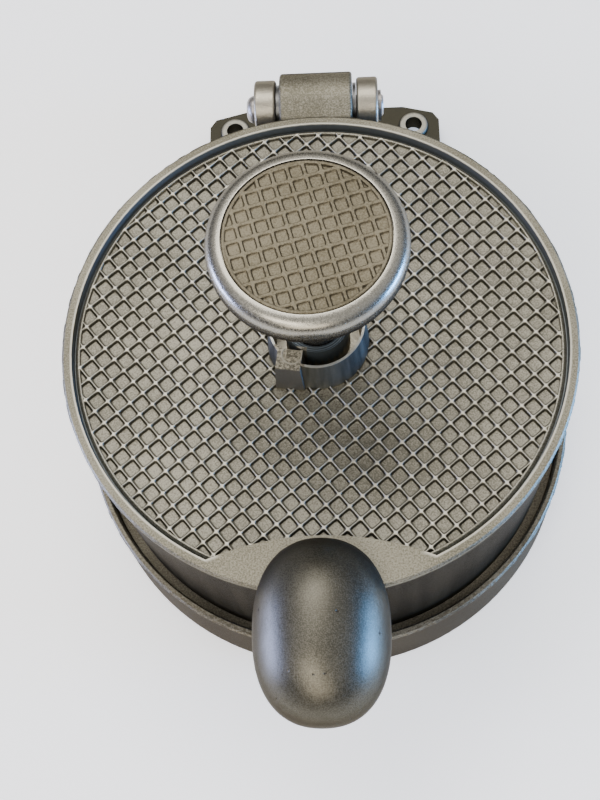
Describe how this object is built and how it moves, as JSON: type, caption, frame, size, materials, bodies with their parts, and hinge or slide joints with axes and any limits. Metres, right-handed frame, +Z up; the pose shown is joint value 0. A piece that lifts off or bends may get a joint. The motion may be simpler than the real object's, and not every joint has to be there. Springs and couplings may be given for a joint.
{
  "type": "patty press",
  "caption": "Hinged cast press: a round dish, a ring lid with a bulb handle and a crosshatched top, and a sprung plunger whose mushroom knob pushes a round plate down inside the ring.",
  "frame": {"origin": "middle of the bounding box from above, at the level the rubber feet stand on; the plunger's axis is at Y = -10.45 mm", "axes": "+Z up, along the plunger, +Y towards the hinge at the back, -Y towards the handle, +X to the right seen from the handle"},
  "size_m": [0.1392, 0.211, 0.134],
  "materials": {
    "base_casting": "bead-blasted casting with a rough rim",
    "lid_casting": "bead-blasted casting, ridge tops a little brighter",
    "handle_casting": "smooth satin",
    "knob_casting": "smooth satin rim",
    "inlay_casting": "matte with a small grid relief",
    "plate_casting": "turned satin",
    "feet_rubber": "matte",
    "fastener_steel": "plain",
    "pin_steel": "polished",
    "washer_steel": "plain",
    "spring_steel": "drawn wire",
    "stem_steel": "ground"
  },
  "bodies": {
    "base": {"base": "base_casting", "foot_front_left": "feet_rubber", "foot_front_right": "feet_rubber", "foot_rear_left": "feet_rubber", "foot_rear_right": "feet_rubber", "foot_screws": "fastener_steel", "hinge_pin": "pin_steel", "hinge_pin_clip": "pin_steel", "hinge_washer_left": "washer_steel", "hinge_washer_right": "washer_steel"},
    "lid": {"lid": "lid_casting", "handle": "handle_casting", "handle_screws": "fastener_steel", "handle_lock_washers": "washer_steel"},
    "spring": {"spring_seat": "washer_steel", "return_spring": "spring_steel"},
    "plunger": {"plunger_stem": "stem_steel", "knob_body": "knob_casting", "knob_inlay": "inlay_casting", "press_plate": "plate_casting", "plate_washer": "washer_steel", "plate_screw": "fastener_steel"}
  },
  "joints": [
    {"name": "lid_hinge", "type": "hinge", "parent": "base", "child": "lid", "pos_m": [0, 0.06405, 0.07], "axis": [-1, 0, 0], "range_deg": [0, 110]},
    {"name": "plunger_turn", "type": "hinge", "parent": "lid", "child": "spring", "pos_m": [0, -0.01045, 0.0588], "axis": [0, 0, 1], "continuous": true},
    {"name": "plunger_slide", "type": "slide", "parent": "spring", "child": "plunger", "axis": [0, 0, 1], "range_m": [-0.025, 0], "stiffness_N_per_m": 400, "springref_m": 0.015, "deforming": ["return_spring"]}
  ]
}
